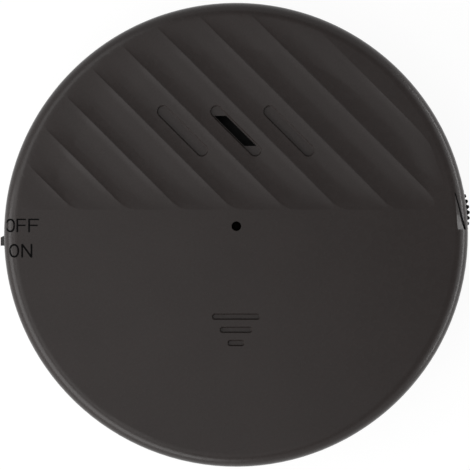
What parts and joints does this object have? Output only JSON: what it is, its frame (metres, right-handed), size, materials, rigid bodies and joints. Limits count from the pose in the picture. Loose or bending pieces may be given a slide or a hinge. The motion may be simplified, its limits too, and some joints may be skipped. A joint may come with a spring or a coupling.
{
  "type": "glass break sensor",
  "caption": "Round dark battery alarm that sticks to a window pane: slanted flutes round a siren slot, an edge slide switch, a toothed sensitivity wheel and a sliding rear door.",
  "frame": {"origin": "centre of the round case, on the outer face of the adhesive pad that meets the pane", "axes": "+Z out of the front face, +Y up on the pane towards the flutes, +X to the right seen from the front"},
  "size_m": [0.0709, 0.07, 0.0108],
  "materials": {
    "case_plastic": "fine moulded texture",
    "wheel_plastic": "smooth moulded",
    "foam_tape": "closed-cell foam with an adhesive face",
    "zinc_screw": "zinc plated",
    "board_laminate": "green solder mask",
    "chip_resin": "moulded resin",
    "ferrite": "sintered ferrite",
    "sleeve": "shrunk sleeve",
    "led_resin": "clear red resin",
    "tinned_wire": "tinned",
    "stamped_steel": "stamped and plated",
    "phenolic": "phenolic board",
    "brass_turned": "turned",
    "coated_brass": "brass sheet with a black coating",
    "fired_ceramic": "silvered face",
    "red_insulation": "wire insulation",
    "black_insulation": "wire insulation",
    "cell_can": "nickel plated can",
    "contact_metal": "nickel plated spring sheet"
  },
  "bodies": {
    "housing": {"front_cover": "case_plastic", "rear_cover": "case_plastic", "adhesive_pad": "foam_tape", "housing_screws": "zinc_screw", "board_screws": "zinc_screw", "circuit_board": "board_laminate", "control_chip": "chip_resin", "drive_transistor": "chip_resin", "chip_resistors": "chip_resin", "boost_coil": "ferrite", "storage_capacitor": "sleeve", "indicator_led": "led_resin", "led_leads": "tinned_wire", "sensor_leads": "tinned_wire", "switch_terminals": "tinned_wire", "dial_terminals": "tinned_wire", "switch_case": "stamped_steel", "vibration_sensor": "stamped_steel", "switch_base": "phenolic", "dial_base": "phenolic", "piezo_plate": "coated_brass", "piezo_ceramic": "fired_ceramic", "piezo_lead_inner": "red_insulation", "piezo_lead_outer": "black_insulation", "button_cell_left": "cell_can", "button_cell_middle": "cell_can", "button_cell_right": "cell_can", "negative_spring": "contact_metal", "positive_spring": "contact_metal", "link_spring": "contact_metal"},
    "switch": {"switch_knob": "case_plastic"},
    "dial": {"dial_rotor": "brass_turned", "sensitivity_wheel": "wheel_plastic", "wheel_screw": "zinc_screw"},
    "door": {"battery_door": "case_plastic", "door_link_plate": "contact_metal"}
  },
  "joints": [
    {"name": "switch_slide", "type": "slide", "parent": "housing", "child": "switch", "axis": [0, 1, 0], "range_m": [0, 0.0015]},
    {"name": "dial_turn", "type": "hinge", "parent": "housing", "child": "dial", "pos_m": [0.02743, 0.003, 0.007], "axis": [0, 0, 1], "range_deg": [-135, 135]},
    {"name": "door_slide", "type": "slide", "parent": "housing", "child": "door", "axis": [0, -1, 0], "range_m": [0, 0.016]}
  ]
}
